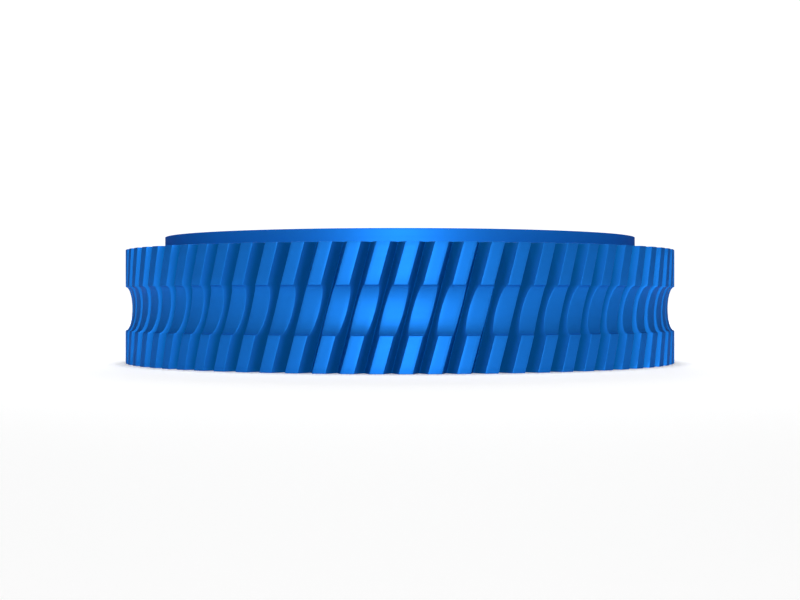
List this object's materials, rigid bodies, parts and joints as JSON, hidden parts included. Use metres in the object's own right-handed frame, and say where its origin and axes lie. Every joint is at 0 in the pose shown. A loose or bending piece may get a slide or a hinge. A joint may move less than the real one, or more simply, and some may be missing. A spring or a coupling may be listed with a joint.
{
  "type": "helical gear",
  "caption": "One-piece helical gear with a shallow throat groove turned in its teeth, a low round boss on one face and a keyed shaft bore.",
  "frame": {"origin": "centre of the shaft bore at the flat back face, on which the gear stands", "axes": "+Z along the shaft bore towards the boss; +X through the keyway"},
  "size_m": [0.0744, 0.0744, 0.0169],
  "materials": {
    "blue_plastic": "blue engineering plastic with a broad satin gloss"
  },
  "bodies": {
    "root": {"helical_gear": "blue_plastic"}
  },
  "joints": []
}
